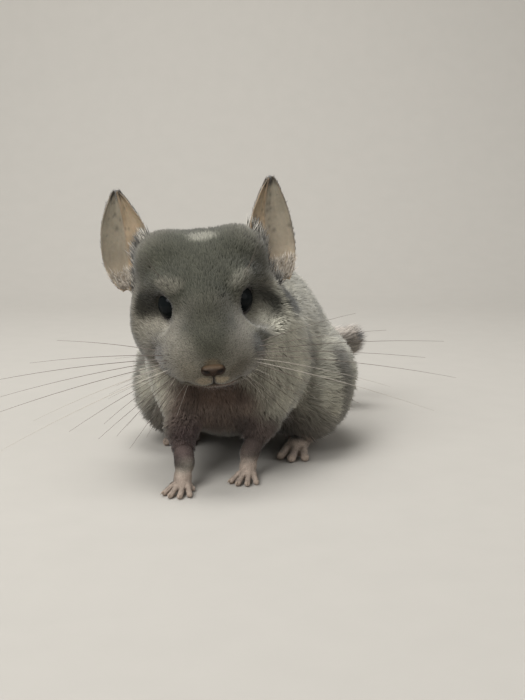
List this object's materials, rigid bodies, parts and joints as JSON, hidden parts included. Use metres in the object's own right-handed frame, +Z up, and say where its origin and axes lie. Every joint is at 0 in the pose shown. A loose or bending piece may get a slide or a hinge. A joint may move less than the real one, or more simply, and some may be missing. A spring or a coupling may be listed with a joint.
{
  "type": "chinchilla",
  "caption": "Young grey chinchilla with pale patches, standing low on all fours in mid step, its head up, ears raised, whiskers spread and bushy tail bent round behind it.",
  "frame": {"origin": "middle of the bounding box, at the floor under the feet", "axes": "+Z up, -Y is the way the animal faces, +X is its left side"},
  "size_m": [0.2016, 0.1734, 0.1221],
  "materials": {
    "coat": "dense soft fur",
    "ear_skin": "thin bare skin",
    "eye": "wet and glossy",
    "nose_skin": "satin",
    "foot_fur": "short fur and bare pads"
  },
  "bodies": {
    "root": {"whisker_pad_left": "coat", "whisker_pad_right": "coat", "nose": "nose_skin", "eye_left": "eye", "eye_right": "eye", "head": "coat", "neck": "coat", "foreleg_left": "coat", "thigh_left": "coat", "forepaw_left": "foot_fur", "hindfoot_left": "foot_fur", "ear_left": "ear_skin", "foreleg_right": "coat", "thigh_right": "coat", "forepaw_right": "foot_fur", "hindfoot_right": "foot_fur", "ear_right": "ear_skin", "torso": "coat", "tail_base": "coat", "tail_tip": "coat"}
  },
  "joints": []
}
